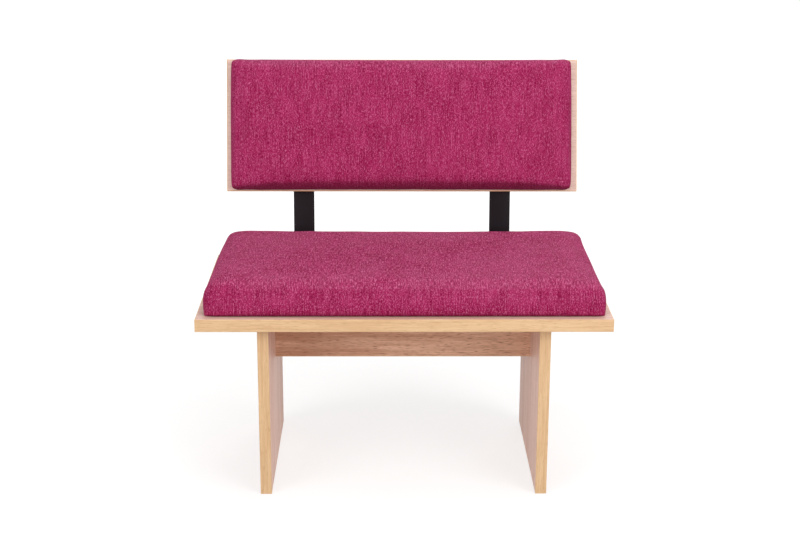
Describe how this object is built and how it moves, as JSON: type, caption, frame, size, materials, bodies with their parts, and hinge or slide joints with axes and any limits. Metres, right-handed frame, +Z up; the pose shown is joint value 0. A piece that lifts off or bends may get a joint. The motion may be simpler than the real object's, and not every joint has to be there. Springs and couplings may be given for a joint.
{
  "type": "bench with backrest",
  "caption": "Wide upholstered bench on panel legs with a stretcher, and a padded backrest carried on bent flat-steel bars behind the seat.",
  "frame": {"origin": "on the floor, in the middle of the bench's width and of its overall depth", "axes": "+X to the right as seen from the front, +Y to the rear, where the backrest is, +Z up"},
  "size_m": [0.9, 0.6092, 0.8955],
  "materials": {
    "oak_board": "fine-grained light oak surface on chipboard, satin",
    "oak_edge": "yellowish oak-look edge band, satin, lightly rounded",
    "black_steel": "black powder coat, fine texture",
    "magenta_fabric": "soft magenta chenille weave with a pale nap",
    "foam": "cut polyurethane foam",
    "plywood": "raw plywood",
    "beech": "raw beech",
    "zinc_steel": "zinc plated"
  },
  "bodies": {
    "root": {"seat_board": "oak_board", "leg_left": "oak_board", "leg_right": "oak_board", "stretcher": "oak_board", "backrest_board": "oak_board", "seat_band_front": "oak_edge", "seat_band_rear": "oak_edge", "seat_band_left": "oak_edge", "seat_band_right": "oak_edge", "leg_left_band_front": "oak_edge", "leg_left_band_rear": "oak_edge", "leg_left_band_bottom": "oak_edge", "leg_right_band_front": "oak_edge", "leg_right_band_rear": "oak_edge", "leg_right_band_bottom": "oak_edge", "stretcher_band_bottom": "oak_edge", "backrest_band_left": "oak_edge", "backrest_band_right": "oak_edge", "backrest_band_bottom": "oak_edge", "backrest_band_top": "oak_edge", "back_bar_left": "black_steel", "back_bar_right": "black_steel", "bar_foot_bolts": "black_steel", "bar_head_bolts": "black_steel", "seat_pad_cover": "magenta_fabric", "back_pad_cover": "magenta_fabric", "seat_pad_foam": "foam", "back_pad_foam": "foam", "seat_pad_board": "plywood", "back_pad_board": "plywood", "leg_dowels": "beech", "stretcher_dowels": "beech", "panel_screws": "zinc_steel", "stretcher_cams": "zinc_steel", "stretcher_cam_bolts": "zinc_steel", "bar_foot_tee_nuts": "zinc_steel", "bar_head_tee_nuts": "zinc_steel", "seat_pad_screws": "zinc_steel", "back_pad_screws": "zinc_steel"}
  },
  "joints": []
}
